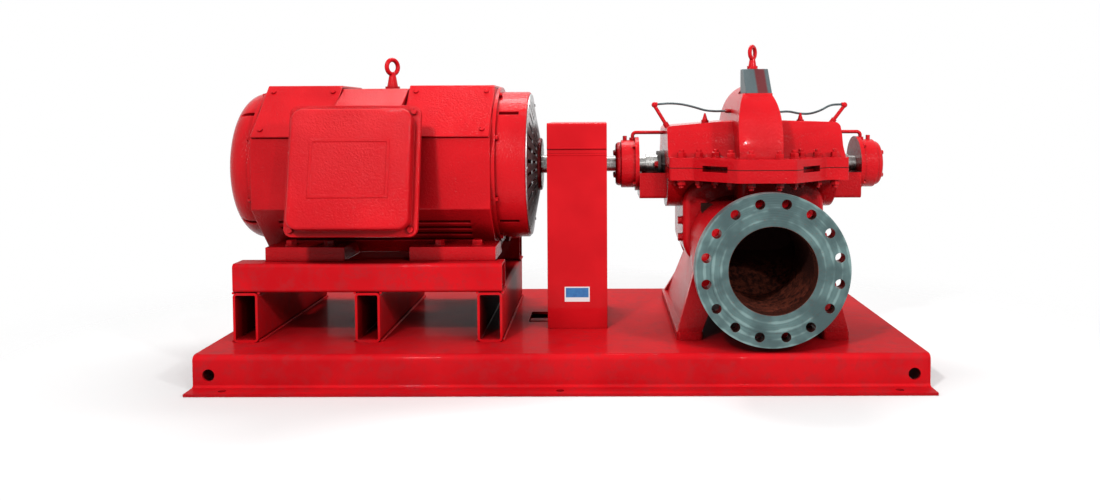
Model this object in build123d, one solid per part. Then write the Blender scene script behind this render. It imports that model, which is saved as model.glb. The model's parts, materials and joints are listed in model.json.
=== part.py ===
from build123d import *
from math import cos, radians, sin, tan
import os

# Electric fire pump set: horizontal split-case pump and foot-mounted motor on a formed steel base.
# Millimetres. X runs from the motor to the pump, Y to the back, Z up from the floor.

# Base
base_length = 2107.0
base_width = 936.0
base_height = 100.0
base_plate = 8.0
base_lip = 60.0
base_bend = 16.0
lift_hole_d = 35.0
lift_hole_inset = 45.0
lift_hole_z = 43.0
anchor_hole_d = 22.0
anchor_x = 955.0
anchor_from_lip_edge = 27.0
grout_hole_x = -71.5
grout_hole_y = -7.5
grout_hole_length = 103.0
grout_hole_width = 143.0
end_plate = 8.0
end_plate_inset = 12.0
member_x = (-588.0, -200.0, 200.0, 606.0)
member_plate = 10.0
member_depth = 78.0
stiffener_y = -12.5
stiffener_width = 35.0
stiffener_depth = 40.0

# Motor stand
stand_x0 = -994.5
stand_x1 = -181.5
stand_depth = 656.0
tube_width = 75.0
tube_height = 150.0
tube_wall = 7.0
tube_corner = 12.0
rail_width = 90.0
rail_height = 88.0

# Shaft line
shaft_height = 617.4
shaft_clearance = 0.05
gland_clearance = 5.0
motor_shaft_d = 60.3
motor_shaft_x0 = -150.0
motor_shaft_x1 = 20.0
pump_shaft_d = 50.0
pump_shaft_x0 = 62.0

# Motor
frame_x0 = -959.5
frame_x1 = -222.5
frame_flats = 530.0
frame_clear = 2.0
vent_count = 4
vent_height = 13.0
vent_pitch = 30.0
vent_depth = 22.0
vent_margin = 70.0
shield_r = 243.0
shield_flange_r = 258.0
shield_flange = 12.0
left_shield_x = -1052.0
left_shield_round = 62.0
right_shield_x = -116.5
shield_slot_width = 14.0
shield_slot_depth = 13.0
recess_outer_r = 226.0
recess_depth = 24.0
hub_r = 100.0
bearing_cap_r = 88.0
bearing_cap_x = -78.5
bearing_cap_flange = 12.0
bearing_cap_reach = 14.0
grille_sheet = 3.0
grille_slots = 30
grille_rows = ((110.0, 150.0, 8.0), (160.0, 212.0, 12.0))
hood_thickness = 10.0
left_hood_x = (-955.0, -716.0)
right_hood_x = (-498.0, -224.0)
foot_half_width = 280.0
foot_pad = 43.0
left_foot_x = (-912.0, -669.0)
right_foot_x = (-470.0, -206.0)
motor_eye_x = -581.5
motor_eye_height = 107.0
eye_turn = 55.0

# Terminal box, its cover leaning back
box_x = -607.0
box_rise = 5.0
box_lean = 12.0
box_rim_y = -384.0
box_rim = 388.0
box_rim_plate = 12.0
box_corner = 26.0
box_size = 346.0
box_depth = 40.0
adapter_width = 211.0
adapter_height = 330.0
cover_plate = 8.0
cover_panel = 352.0
cover_panel_corner = 34.0
cover_depth = 52.0
cover_round = 9.0
badge_width = 232.0
badge_height = 172.0
badge_bar = 9.0
badge_rise = 3.0

# Coupling guard
guard_x0 = -54.5
guard_x1 = 136.5
guard_half_depth = 166.0
guard_top = 757.0
guard_sheet = 4.0
groove_z0 = 653.0
groove_z1 = 679.0
groove_depth = 5.0
guard_bend = 12.0
guard_hole_r = 36.0

# Coupling
hub_gap = 0.3
hub_flange = 16.0
hub_flange_r = 92.0
hub_body_r = 52.0
hub_body_length = 44.0
coupling_middle = 34.0

# Pump, measured from the middle of the casing and from the shaft axis
pump_x = 606.0
casing_half = 277.0
flange_corner_y = 244.0
flange_shoulder_x = 208.0
flange_front_x = 84.0
flange_front_y = 371.0
upper_flange = 32.0
lower_flange = 38.0
pry_gap = 9.0
pry_depth = 24.0
pry_length = 95.0
crown_left = 127.0
crown_middle = 146.0
crown_right = 139.0
crown_round = 34.0
crown_wall = ((205.0, 32.0), (174.0, 64.0), (160.0, 104.0), (125.0, 150.0))
hump_ridge = ((200.0, 0.0), (187.0, 115.0), (122.0, 213.0), (0.0, 257.0), (-110.0, 263.0),
              (-208.0, 224.0), (-262.0, 130.0), (-285.0, 0.0))
hump_side = ((68.0, 0.0), (66.0, 144.0), (59.0, 188.0), (43.0, 230.0), (19.0, 257.0))
hump_crest = 264.0
hump_round = 16.0
chamber_half = 226.0
chamber_bottom = 326.0
chamber_half_depth = 150.0
chamber_corner = 90.0
casing_wall = 22.0
stuffing_r = 143.0
belly_r = 285.0
belly_half = 66.0
shaft_bore_r = 36.0
gland_bore_r = 46.0
gland_bore_depth = 14.0

nozzle_drop = 280.4
suction_od = 444.5
suction_bore = 254.0
suction_thickness = 47.6
suction_circle = 387.35
suction_bolt_count = 16
suction_bolt_hole = 28.6
suction_neck = 304.0
suction_face_y = -465.0
discharge_od = 381.0
discharge_bore = 203.0
discharge_thickness = 41.3
discharge_circle = 330.2
discharge_bolt_count = 12
discharge_bolt_hole = 25.4
discharge_neck = 250.0
discharge_face_y = 430.0
raised_face = 2.0
raised_face_r = 178.5
discharge_raised_r = 150.0
suction_swell = (380.0, 318.0, 150.0, -300.0, -262.0)
suction_elbow = (410.0, 330.0, 140.0, -175.0, -262.0)
suction_root = (380.0, 258.0, 120.0, -90.0, -198.0)
suction_eye = (330.0, 196.0, 90.0, -60.0, -186.0)
discharge_swell = (330.0, 312.0, 140.0, 235.0, -246.0)

foot_plate_x0 = -261.0
foot_plate_x1 = -181.0
foot_plate_y0 = -315.0
foot_plate_y1 = 330.0
foot_plate = 25.0
foot_plate_corner = 12.0
leg_rib = 22.0
leg_root = 5.0
leg_front = ((-259.0, -187.0), (-118.0, -310.0), (-199.0, -270.0))
leg_rear = ((-255.0, -187.0), (-60.0, -360.0), (-126.0, -290.0))
leg_web = ((-242.0, -218.0), (-140.0, -300.0), (-164.0, -300.0))

bracket_half = 85.0
bracket_top = -26.0
bracket_bottom = -110.0
bracket_wall = 14.0
bracket_end = 9.0
housing_face = casing_half + 85.0
housing_end = housing_face + 60.0
housing_r = 80.0
housing_flange_r = 90.0
housing_flange = 13.0
cap_end = housing_end + 18.0
cap_r = 73.0
tie_bar_d = 12.0
tie_bar_z = 105.0
tie_bar_x = housing_face + 20.0
tie_boss_z = 88.0
sleeve_d = 62.0
sleeve_x0 = casing_half - 27.0
sleeve_x1 = housing_face - 24.0

gland_plate = 10.0
gland_x0 = casing_half + 13.0
gland_height = 84.0
gland_width = 122.0
gland_stud_y = 51.0
gland_stud_d = 10.0
gland_stud_end = casing_half + 39.0
gland_nose_r = 44.0

block_x0 = -35.0
block_x1 = 46.0
block_y0 = -205.0
block_y1 = -92.0
block_z0 = 230.6
block_z1 = 309.6
block_slope_y = -135.0
block_seat_margin = 3.0
pump_eye_height = 79.0
pump_eye_y = -114.0

line_y = -60.0
nipple_d = 12.0
nipple_foot_x = casing_half - 11.0
nipple_top_x = casing_half + 35.0
elbow_d = 19.0
elbow_length = 24.0
tube_d = 7.0
left_tube = ((-302.0, 199.0), (-262.0, 202.0), (-222.0, 199.0), (-184.0, 190.0), (-146.0, 178.0),
             (-112.0, 175.0), (-80.0, 176.0))
right_tube = ((302.0, 196.0), (266.0, 195.0), (234.0, 176.0), (198.0, 165.0), (164.0, 166.0),
              (130.0, 174.0), (98.0, 172.0), (80.0, 173.0))
plug_x = (-150.0, 160.0)
plug_y = -92.0
plug_r = 12.0
plug_height = 26.0


def box(x0, x1, y0, y1, z0, z1):
    size = Box(x1 - x0, y1 - y0, z1 - z0)
    return Pos((x0 + x1) / 2, (y0 + y1) / 2, (z0 + z1) / 2) * size


def rod(x0, x1, radius, y=0.0, z=0.0):
    return Pos((x0 + x1) / 2, y, z) * Rot(0, 90, 0) * Cylinder(radius, abs(x1 - x0))


def rod_y(y0, y1, radius, x=0.0, z=0.0):
    return Pos(x, (y0 + y1) / 2, z) * Rot(90, 0, 0) * Cylinder(radius, abs(y1 - y0))


def rod_z(z0, z1, radius, x=0.0, y=0.0):
    return Pos(x, y, (z0 + z1) / 2) * Cylinder(radius, abs(z1 - z0))


def outline(points):
    return make_face(Polyline(*points, close=True))


def soften(face, corners):
    for x, y, radius in corners:
        corner = face.vertices().sort_by_distance((x, y, 0))[0]
        face = fillet(corner, radius)
    return face


def along_x(face, x0, x1):
    plane = Plane(origin=(x0, 0, 0), x_dir=(0, 1, 0), z_dir=(1, 0, 0))
    return extrude(plane * face, x1 - x0)


def along_y(face, y0, y1):
    plane = Plane(origin=(0, y1, 0), x_dir=(1, 0, 0), z_dir=(0, -1, 0))
    return extrude(plane * face, y1 - y0)


def turned(face):
    return revolve(Plane.XZ * face, Axis.X)


def at_shaft(shape):
    return Pos(0, 0, shaft_height) * shape


def at_frame(shape):
    return Pos(0, 0, frame_z) * shape


def at_box(shape):
    return Pos(box_x, box_rim_y, shaft_height + box_rise) * Rot(-box_lean, 0, 0) * shape


def at_pump(shape):
    return Pos(pump_x, 0, shaft_height) * shape


def mirrored(shape):
    return mirror(shape, Plane.YZ)


def polar(shape, count, first=0.0):
    copies = Part()
    for index in range(count):
        copies += Rot(first + index * 360.0 / count, 0, 0) * shape
    return copies


def save(name, shape):
    export_step(shape, "parts/" + name + ".step")


# Base
web_y = base_width / 2
inner_bend = base_bend - base_plate
deck_under = base_height - base_plate


def base_deck():
    inner_y = web_y - base_plate
    tip_y = web_y + base_lip
    points = [(-tip_y, 0), (-tip_y, base_plate), (-web_y, base_plate), (-web_y, base_height),
              (web_y, base_height), (web_y, base_plate), (tip_y, base_plate), (tip_y, 0),
              (inner_y, 0), (inner_y, deck_under), (-inner_y, deck_under), (-inner_y, 0)]
    section = outline(points)
    bends = []
    for side in (-1, 1):
        bends.append((side * web_y, base_height, base_bend))
        bends.append((side * inner_y, deck_under, inner_bend))
        bends.append((side * web_y, base_plate, inner_bend))
        bends.append((side * inner_y, 0, base_bend))
    deck = along_x(soften(section, bends), -base_length / 2, base_length / 2)
    for side in (-1, 1):
        lift_x = side * (base_length / 2 - lift_hole_inset)
        deck -= rod_y(-web_y - 1, web_y + 1, lift_hole_d / 2, lift_x, lift_hole_z)
        for x in (-anchor_x, 0, anchor_x):
            anchor_y = side * (tip_y - anchor_from_lip_edge)
            deck -= rod_z(-1, base_plate + 1, anchor_hole_d / 2, x, anchor_y)
    deck -= box(grout_hole_x - grout_hole_length / 2, grout_hole_x + grout_hole_length / 2,
                grout_hole_y - grout_hole_width / 2, grout_hole_y + grout_hole_width / 2,
                deck_under - 1, base_height + 1)
    return deck


def base_end_plates():
    inner_y = web_y - base_plate
    face = Pos(0, deck_under / 2) * Rectangle(2 * inner_y, deck_under)
    face = soften(face, [(inner_y, deck_under, inner_bend), (-inner_y, deck_under, inner_bend)])
    outer_x = base_length / 2 - end_plate_inset
    left = along_x(face, -outer_x, -outer_x + end_plate)
    return left + mirrored(left)


def base_cross_members():
    half = web_y - base_plate - inner_bend
    members = Part()
    for x in member_x:
        members += box(x - member_plate / 2, x + member_plate / 2, -half, half,
                       deck_under - member_depth, deck_under)
    return members


def base_stiffener():
    end_x = base_length / 2 - end_plate_inset - end_plate
    starts = [-end_x] + [x + member_plate / 2 for x in member_x]
    ends = [x - member_plate / 2 for x in member_x] + [end_x]
    bars = Part()
    for x0, x1 in zip(starts, ends):
        bars += box(x0, x1, stiffener_y - stiffener_width / 2, stiffener_y + stiffener_width / 2,
                    deck_under - stiffener_depth, deck_under)
    return bars


# Motor stand
rail_z = base_height + tube_height
stand_top = rail_z + rail_height


def hollow_section(width, height):
    outer = RectangleRounded(width, height, tube_corner)
    inner = RectangleRounded(width - 2 * tube_wall, height - 2 * tube_wall, tube_corner - tube_wall)
    return outer - inner


def stand_tube(x):
    section = Pos(x, base_height + tube_height / 2) * hollow_section(tube_width, tube_height)
    return along_y(section, -stand_depth / 2, stand_depth / 2)


def stand_rail(side):
    rail_y = side * (stand_depth / 2 - rail_width / 2)
    section = Pos(rail_y, rail_z + rail_height / 2) * hollow_section(rail_width, rail_height)
    return along_x(section, stand_x0, stand_x1)


# Motor
apothem = frame_flats / 2
frame_z = stand_top + frame_clear + apothem
flat_half = apothem * tan(radians(22.5))
cap_flange_x = bearing_cap_x - bearing_cap_reach
hub_face_x = cap_flange_x - bearing_cap_flange
motor_bore_r = motor_shaft_d / 2 + shaft_clearance


def motor_frame():
    octagon = RegularPolygon(apothem, 8, major_radius=False, rotation=22.5)
    frame = along_x(octagon, frame_x0, frame_x1)
    slot = box(frame_x0 + vent_margin, frame_x1 - vent_margin, -apothem - 1, -apothem + vent_depth,
               -vent_height / 2, vent_height / 2)
    for side in (45, 135):
        for index in range(vent_count):
            shift = (index - (vent_count - 1) / 2) * vent_pitch
            frame -= Rot(side, 0, 0) * Pos(0, 0, shift) * slot
    return at_frame(frame)


def shield_slots(x0, x1):
    slot = box(x0, x1, -shield_slot_width / 2, shield_slot_width / 2,
               shield_r - shield_slot_depth, shield_r + 2)
    return polar(slot, 4, 45.0)


def motor_shield_left():
    flange_x = frame_x0 - shield_flange
    profile = outline([(frame_x0, 0), (frame_x0, shield_flange_r), (flange_x, shield_flange_r),
                       (flange_x, shield_r), (left_shield_x, shield_r), (left_shield_x, 0)])
    profile = soften(profile, [(left_shield_x, shield_r, left_shield_round)])
    shield = turned(profile) - shield_slots(left_shield_x + 8, flange_x - 6)
    return at_shaft(shield)


def motor_shield_right():
    flange_x = frame_x1 + shield_flange
    recess_x = right_shield_x - recess_depth
    profile = outline([(frame_x1, 0), (frame_x1, shield_flange_r), (flange_x, shield_flange_r),
                       (flange_x, shield_r), (right_shield_x, shield_r),
                       (right_shield_x, recess_outer_r), (recess_x, recess_outer_r),
                       (recess_x, hub_r), (hub_face_x, hub_r), (hub_face_x, 0)])
    profile = soften(profile, [(right_shield_x, shield_r, 7)])
    shield = turned(profile) - shield_slots(flange_x + 6, right_shield_x - 26)
    shield -= rod(motor_shaft_x0 - gland_clearance, hub_face_x + 1, motor_bore_r)
    return at_shaft(shield)


def motor_bearing_cap():
    profile = outline([(hub_face_x, motor_bore_r), (hub_face_x, hub_r), (cap_flange_x, hub_r),
                       (cap_flange_x, bearing_cap_r), (bearing_cap_x, bearing_cap_r),
                       (bearing_cap_x, motor_bore_r)])
    profile = soften(profile, [(bearing_cap_x, bearing_cap_r, 6)])
    return at_shaft(turned(profile))


def motor_grille():
    rim_r = shield_r - 8
    inner_r = bearing_cap_r + 0.3
    lip = 11.0
    profile = outline([(right_shield_x, rim_r), (right_shield_x + grille_sheet, rim_r),
                       (right_shield_x + grille_sheet, rim_r - lip),
                       (cap_flange_x + grille_sheet, hub_r), (cap_flange_x + grille_sheet, inner_r),
                       (cap_flange_x, inner_r), (cap_flange_x, hub_r), (right_shield_x, rim_r - lip)])
    grille = turned(profile)
    for r0, r1, width in grille_rows:
        slot = box(right_shield_x - 5, bearing_cap_x + 5, -width / 2, width / 2, r0, r1)
        grille -= polar(slot, grille_slots)
    return at_shaft(grille)


def motor_shaft():
    return at_shaft(rod(motor_shaft_x0, motor_shaft_x1, motor_shaft_d / 2))


def motor_hood(x_range):
    outer = apothem + hood_thickness
    outer_half = outer * tan(radians(22.5))
    points = [(outer, outer_half), (outer_half, outer), (-outer_half, outer), (-outer, outer_half),
              (-apothem, flat_half), (-flat_half, apothem), (flat_half, apothem),
              (apothem, flat_half)]
    return at_frame(along_x(outline(points), x_range[0], x_range[1]))


def motor_foot(x_range):
    under = frame_z - apothem
    pad_top = stand_top + foot_pad
    pad_y = flat_half + pad_top - under
    section = outline([(flat_half, stand_top), (foot_half_width, stand_top),
                       (foot_half_width, pad_top), (pad_y, pad_top), (flat_half, under)])
    rear = along_x(section, x_range[0], x_range[1])
    return rear + mirror(rear, Plane.XZ)


def terminal_box():
    back = box_rim_plate + box_depth
    rim = along_y(RectangleRounded(box_rim, box_rim, box_corner), 0, box_rim_plate)
    body = along_y(RectangleRounded(box_size, box_size, box_corner), box_rim_plate, back)
    rise = Vector(0, sin(radians(box_lean)), cos(radians(box_lean))) * (adapter_height / 2)
    inward = Vector(0, cos(radians(box_lean)), -sin(radians(box_lean))) * back
    middle = Vector(0, box_rim_y, shaft_height + box_rise) + inward
    top = middle + rise
    bottom = middle - rise
    side = outline([(top.Y, top.Z), (-flat_half, frame_z + apothem), (-apothem, frame_z + flat_half),
                    (-apothem, frame_z - flat_half), (bottom.Y, bottom.Z)])
    adapter = along_x(side, box_x - adapter_width / 2, box_x + adapter_width / 2)
    return at_box(rim + body) + adapter


def terminal_box_cover():
    plate = along_y(RectangleRounded(box_rim, box_rim, box_corner), -cover_plate, 0)
    face = RectangleRounded(cover_panel, cover_panel, cover_panel_corner)
    panel = along_y(face, -cover_depth, -cover_plate)
    panel = fillet(panel.faces().sort_by(Axis.Y)[0].edges(), cover_round)
    border = Rectangle(badge_width, badge_height)
    border -= Rectangle(badge_width - 2 * badge_bar, badge_height - 2 * badge_bar)
    badge = along_y(border, -cover_depth - badge_rise, -cover_depth)
    return at_box(plate + panel + badge)


def lifting_eye(ring_r, wire_r, collar_r, foot_z, top_z):
    ring_z = top_z - ring_r - wire_r
    collar = rod_z(foot_z, foot_z + 10, collar_r)
    neck_top = ring_z - ring_r + wire_r / 2
    neck = Pos(0, 0, (foot_z + 10 + neck_top) / 2) * Cone(collar_r * 0.75, wire_r * 1.3,
                                                         neck_top - foot_z - 10)
    ring = Pos(0, 0, ring_z) * Rot(90, 0, 0) * Torus(ring_r, wire_r)
    return Rot(0, 0, eye_turn) * (collar + neck + ring)


# Coupling guard
def guard_shell():
    half = guard_half_depth
    hollow = half - guard_sheet
    shell = box(guard_x0, guard_x1, -half, half, base_height, guard_top)
    top_edges = shell.edges().filter_by(Axis.X).sort_by(Axis.Z)[-2:]
    shell = fillet(top_edges, guard_bend)
    inner_top = guard_top - guard_sheet
    x0 = guard_x0 + guard_sheet
    x1 = guard_x1 - guard_sheet
    shell -= box(x0, x1, -hollow, hollow, base_height - 1, groove_z0 - guard_sheet)
    shell -= box(x0, x1, -hollow + groove_depth, hollow - groove_depth,
                 groove_z0 - guard_sheet - 1, groove_z1 + guard_sheet + 1)
    upper = box(x0, x1, -hollow, hollow, groove_z1 + guard_sheet, inner_top)
    upper_edges = upper.edges().filter_by(Axis.X).sort_by(Axis.Z)[-2:]
    shell -= fillet(upper_edges, guard_bend - guard_sheet)
    for side in (-1, 1):
        outer = side * (half + 1)
        inner = side * (half - groove_depth)
        shell -= box(guard_x0 - 1, guard_x1 + 1, min(outer, inner), max(outer, inner),
                     groove_z0, groove_z1)
    shell -= rod(guard_x0 - 1, guard_x1 + 1, guard_hole_r, 0, shaft_height)
    return shell


def guard_part(z0, z1):
    reach = guard_half_depth + 5
    return guard_shell() & box(guard_x0 - 5, guard_x1 + 5, -reach, reach, z0, z1)


# Coupling
coupling_mid_x = (motor_shaft_x1 + pump_shaft_x0) / 2


def coupling_hub(shaft_d):
    face = coupling_middle / 2 + hub_gap
    bore_r = shaft_d / 2 + shaft_clearance
    profile = outline([(face, bore_r), (face, hub_flange_r), (face + hub_flange, hub_flange_r),
                       (face + hub_flange, hub_body_r), (face + hub_body_length, hub_body_r),
                       (face + hub_body_length, bore_r)])
    return turned(profile)


def coupling_element():
    half = coupling_middle / 2
    bore_r = motor_shaft_d / 2 + gland_clearance
    profile = outline([(-half, bore_r), (-half, hub_flange_r), (half, hub_flange_r),
                       (half, bore_r)])
    return turned(profile)


# Pump casing
def parting_outline():
    points = [(casing_half, -flange_corner_y), (flange_shoulder_x, -flange_corner_y),
              (flange_front_x, -flange_front_y), (-flange_front_x, -flange_front_y),
              (-flange_shoulder_x, -flange_corner_y), (-casing_half, -flange_corner_y)]
    back = [(x, -y) for x, y in reversed(points)]
    face = outline(points + back)
    rounds = []
    for x, y in points + back:
        if abs(x) < casing_half:
            rounds.append((x, y, 22))
        else:
            rounds.append((x, y, 8))
    return soften(face, rounds)


def pry_notches():
    run_x = flange_shoulder_x - flange_front_x
    run_y = flange_front_y - flange_corner_y
    lean = -Vector(run_x, run_y, 0).get_angle(Vector(1, 0, 0))
    middle = ((flange_shoulder_x + flange_front_x) / 2, (flange_corner_y + flange_front_y) / 2)
    notches = Part()
    cutter = Box(pry_length, 2 * pry_depth, 2 * pry_gap)
    for sx in (-1, 1):
        for sy in (-1, 1):
            spot = Pos(sx * middle[0], sy * middle[1], 0) * Rot(0, 0, sx * sy * lean)
            notches += spot * cutter
    return notches


def shaft_bores():
    bores = rod(-casing_half - 1, casing_half + 1, shaft_bore_r)
    for side in (-1, 1):
        x0 = side * (casing_half - gland_bore_depth)
        x1 = side * (casing_half + 1)
        bores += rod(min(x0, x1), max(x0, x1), gland_bore_r)
    return bores


def volute_hump():
    back, front = hump_ridge[0], hump_ridge[-1]
    side_view = make_face(Spline(*hump_ridge) + Line(front, back))
    rising = [(-x, z) for x, z in hump_side]
    falling = list(reversed(hump_side))
    half = hump_side[0][0]
    crest = Spline(*rising, (0, hump_crest), *falling)
    front_view = make_face(crest + Line((half, 0), (-half, 0)))
    hump = along_x(side_view, -half - 5, half + 5)
    hump = hump & along_y(front_view, front[0] - 5, back[0] + 5)
    return hump


def pump_upper_casing():
    flange = extrude(parting_outline(), upper_flange)
    crown = outline([(-casing_half, 0), (-casing_half, crown_left), (-60, crown_middle),
                     (60, crown_middle), (casing_half, crown_right), (casing_half, 0)])
    crown = soften(crown, [(-casing_half, crown_left, 12), (casing_half, crown_right, 16)])
    front_wall = [(-y, z) for y, z in crown_wall]
    foot_y, top_y = crown_wall[0][0], crown_wall[-1][0]
    top_z = crown_wall[-1][1]
    slope = outline([(-foot_y, 0)] + front_wall + list(reversed(crown_wall)) + [(foot_y, 0)])
    slope = soften(slope, [(-top_y, top_z, crown_round), (top_y, top_z, crown_round)])
    body = along_y(crown, -foot_y, foot_y) & along_x(slope, -casing_half, casing_half)
    boss = box(block_x0 - block_seat_margin, block_x1 + block_seat_margin,
               block_y0 - block_seat_margin, block_y1 + block_seat_margin,
               crown_middle - 20, block_z0)
    boss = fillet(boss.edges().filter_by(Axis.Z), 12)
    casing = flange + body + volute_hump() + boss
    casing -= box(block_x0 - 60, block_x1 + 60, block_y0 - 60, block_y1 + block_seat_margin,
                  block_z0, hump_crest + 20)
    casing -= pry_notches() + shaft_bores()
    return at_pump(casing)


def nozzle_section(width, height, corner, y, z):
    plane = Plane(origin=(0, y, z), x_dir=(1, 0, 0), z_dir=(0, -1, 0))
    return plane * RectangleRounded(width, height, corner)


def round_section(diameter, y):
    return nozzle_section(diameter, diameter, diameter / 2 - 1, y, -nozzle_drop)


def pump_foot():
    floor_z = base_height - shaft_height
    plate_top = floor_z + foot_plate
    root_z = plate_top - leg_root
    foot = box(foot_plate_x0, foot_plate_x1, foot_plate_y0, foot_plate_y1, floor_z, plate_top)
    foot = fillet(foot.edges().filter_by(Axis.Z), foot_plate_corner)
    sides = []
    for (x0, x1), inner, outer in (leg_front, leg_rear, leg_web):
        sides.append(outline([(x0, root_z), (x1, root_z), inner, outer]))
    foot += along_y(sides[0], foot_plate_y0 + 2, foot_plate_y0 + 2 + leg_rib)
    foot += along_y(sides[1], foot_plate_y1 - 2 - leg_rib, foot_plate_y1 - 2)
    foot += along_y(sides[2], foot_plate_y0 + leg_rib, foot_plate_y1 - leg_rib)
    return at_pump(foot)


def bearing_bracket():
    x0 = casing_half - 4
    trough = box(x0, housing_face, -bracket_half, bracket_half, bracket_bottom, bracket_top)
    trough = fillet(trough.edges().filter_by(Axis.X).sort_by(Axis.Z)[:2], 12)
    inner = bracket_half - bracket_wall
    trough -= box(casing_half, housing_face - bracket_end, -inner, inner,
                  bracket_bottom + bracket_wall, bracket_top + 1)
    return trough - rod(x0, housing_face + 1, shaft_bore_r)


def suction_bulge(neck_y):
    return loft([nozzle_section(*suction_root), nozzle_section(*suction_elbow),
                 nozzle_section(*suction_swell), round_section(suction_neck, neck_y)])


def discharge_bulge(mid_z, tall, rear_y):
    half_y = chamber_half_depth
    start = nozzle_section(2 * chamber_half, tall, chamber_corner, half_y - 20, mid_z)
    return loft([start, nozzle_section(*discharge_swell), round_section(discharge_neck, rear_y)])


def pump_lower_casing():
    flange = Pos(0, 0, -lower_flange) * extrude(parting_outline(), lower_flange)
    mid_z = -(lower_flange + chamber_bottom) / 2
    tall = chamber_bottom - lower_flange
    wide = 2 * chamber_half
    chamber = along_y(Pos(0, mid_z) * RectangleRounded(wide, tall, chamber_corner),
                      -chamber_half_depth, chamber_half_depth)
    chamber = fillet(chamber.faces().sort_by(Axis.Y)[0].edges(), casing_wall)
    neck_y = suction_face_y + suction_thickness
    rear_y = discharge_face_y - discharge_thickness
    belly = rod(-belly_half, belly_half, belly_r)
    belly = fillet(belly.edges(), 30)
    belly = belly & box(-100, 100, -belly_r, belly_r, -belly_r - 1, -lower_flange / 2)
    stuffing = rod(-casing_half + 5, casing_half - 5, stuffing_r)
    stuffing = stuffing & box(-300, 300, -stuffing_r, stuffing_r, -stuffing_r - 1, -lower_flange / 2)
    casing = flange + chamber + belly + stuffing
    casing += suction_bulge(neck_y)
    casing += discharge_bulge(mid_z, tall, rear_y)
    casing += bearing_bracket() + mirrored(bearing_bracket())
    casing -= pry_notches() + shaft_bores()
    elbow_y = suction_elbow[3]
    casing -= rod_y(neck_y - 1, elbow_y, suction_bore / 2, 0, -nozzle_drop)
    casing -= loft([round_section(suction_bore, elbow_y - 1), nozzle_section(*suction_eye)])
    casing -= rod_y(discharge_swell[3], rear_y + 1, discharge_bore / 2, 0, -nozzle_drop)
    return at_pump(casing)


def pipe_flange(od, bore, thickness, circle, bolts, bolt_hole, raised_r):
    flange = rod_y(raised_face, thickness, od / 2)
    flange += rod_y(0, raised_face, raised_r)
    flange -= rod_y(-1, thickness + 1, bore / 2)
    for index in range(bolts):
        angle = radians((index + 0.5) * 360.0 / bolts)
        flange -= rod_y(-1, thickness + 1, bolt_hole / 2, circle / 2 * cos(angle),
                        circle / 2 * sin(angle))
    return flange


def suction_flange():
    flange = pipe_flange(suction_od, suction_bore, suction_thickness, suction_circle,
                         suction_bolt_count, suction_bolt_hole, raised_face_r)
    return at_pump(Pos(0, suction_face_y, -nozzle_drop) * flange)


def discharge_flange():
    flange = pipe_flange(discharge_od, discharge_bore, discharge_thickness, discharge_circle,
                         discharge_bolt_count, discharge_bolt_hole, discharge_raised_r)
    return at_pump(Pos(0, discharge_face_y, -nozzle_drop) * mirror(flange, Plane.XZ))


# Pump ends
def bearing_housing(nub):
    bore_r = pump_shaft_d / 2 + shaft_clearance
    flange_x = housing_face + housing_flange
    profile = outline([(housing_face, bore_r), (housing_face, housing_flange_r),
                       (flange_x, housing_flange_r), (flange_x, housing_r),
                       (housing_end, housing_r), (housing_end, bore_r)])
    profile = soften(profile, [(housing_end, housing_r, 4), (flange_x, housing_r, 3)])
    housing = turned(profile)
    boss = rod_z(housing_r - 12, tie_boss_z, 11, tie_bar_x, 0)
    housing += boss
    housing += rod_z(housing_r - 12, housing_r + nub, 7, housing_end - 14, 0)
    return housing


def bearing_cap(open_end):
    bore_r = pump_shaft_d / 2 + gland_clearance
    inner_r = bore_r if open_end else 0
    profile = outline([(housing_end, inner_r), (housing_end, cap_r), (cap_end, cap_r),
                       (cap_end, inner_r)])
    profile = soften(profile, [(cap_end, cap_r, 12)])
    return turned(profile)


def packing_gland():
    plate = Plane(origin=(gland_x0, 0, 0), x_dir=(0, 1, 0), z_dir=(1, 0, 0))
    gland = extrude(plate * SlotOverall(gland_width, gland_height), gland_plate)
    gland += rod(casing_half - gland_bore_depth + 6, gland_x0, gland_nose_r)
    gland -= rod(casing_half - gland_bore_depth, gland_x0 + gland_plate + 1,
                 sleeve_d / 2 + gland_clearance)
    for side in (-1, 1):
        gland += rod(casing_half, gland_stud_end, gland_stud_d / 2, side * gland_stud_y)
    return gland


def tie_bar():
    path = FilletPolyline((casing_half, tie_bar_z), (tie_bar_x, tie_bar_z),
                          (tie_bar_x, tie_boss_z), radius=tie_bar_d * 0.95)
    path = Plane.XZ * path
    start = Plane(origin=path @ 0, z_dir=path % 0)
    return sweep(start * Circle(tie_bar_d / 2), path)


def pump_shaft():
    start = pump_shaft_x0 - pump_x
    mid_r = sleeve_d / 2 - 3
    shaft_r = pump_shaft_d / 2
    sleeve_r = sleeve_d / 2
    profile = outline([(start, 0), (start, shaft_r), (-sleeve_x1, shaft_r), (-sleeve_x1, sleeve_r),
                       (-sleeve_x0, sleeve_r), (-sleeve_x0, mid_r), (sleeve_x0, mid_r),
                       (sleeve_x0, sleeve_r), (sleeve_x1, sleeve_r), (sleeve_x1, shaft_r),
                       (housing_end, shaft_r), (housing_end, 0)])
    return at_pump(turned(profile))


def vent_block():
    face = outline([(block_y0, block_z0), (block_slope_y, block_z1), (block_y1, block_z1),
                    (block_y1, block_z0)])
    return at_pump(along_x(face, block_x0, block_x1))


def tube_radii(points):
    radii = []
    for before, here, after in zip(points, points[1:], points[2:]):
        run_in = Vector(*here) - Vector(*before)
        run_out = Vector(*after) - Vector(*here)
        turn = radians(run_in.get_angle(run_out))
        shorter = min(run_in.length, run_out.length)
        radii.append(0.45 * shorter / tan(turn / 2))
    return radii


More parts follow.
